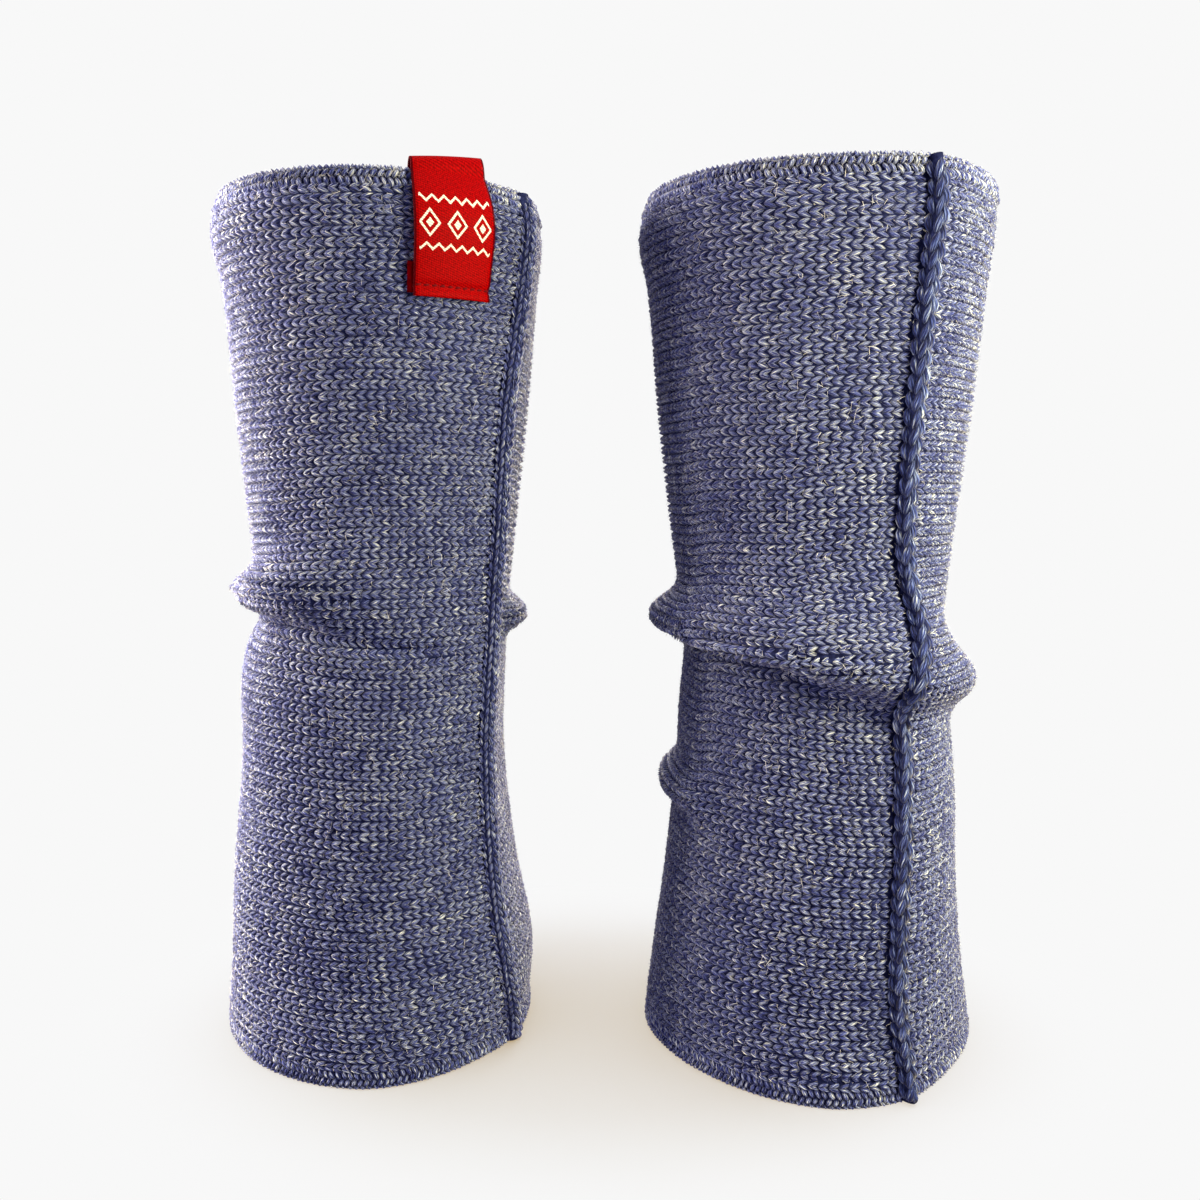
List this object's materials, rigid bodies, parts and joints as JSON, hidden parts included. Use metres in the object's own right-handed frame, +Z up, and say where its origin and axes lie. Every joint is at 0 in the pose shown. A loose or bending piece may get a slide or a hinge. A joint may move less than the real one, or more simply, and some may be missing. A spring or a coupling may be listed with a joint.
{
  "type": "pair of knitted arm warmers",
  "caption": "Knitted arm warmers that stand as open, softly folded tubes, with a raised seam up the side, narrow edge bands and a ribbon label over the rim.",
  "frame": {"origin": "middle of the pair's bounding box on the floor that both tubes stand on", "axes": "+Z up along the tubes, +X from the left tube to the right tube, -Y towards the front, where the label and the right tube's seam are"},
  "size_m": [0.1858, 0.107, 0.2049],
  "materials": {
    "heather_knit": "sideways stockinette of plied heather yarn, periwinkle blue with grey and dark navy, matte and slightly fuzzy",
    "edge_knit": "narrow selvedge and ribbed edge of the same heather yarn, matte",
    "seam_yarn": "chain of plied blue yarn along the turned-out seam, matte",
    "red_ribbon": "woven red label ribbon with off-white woven marks, slight satin sheen"
  },
  "bodies": {
    "root": {"left_panel": "heather_knit", "left_seam": "seam_yarn", "left_top_edge": "edge_knit", "left_bottom_edge": "edge_knit", "left_label": "red_ribbon", "right_panel": "heather_knit", "right_seam": "seam_yarn", "right_top_edge": "edge_knit", "right_bottom_edge": "edge_knit"}
  },
  "joints": []
}
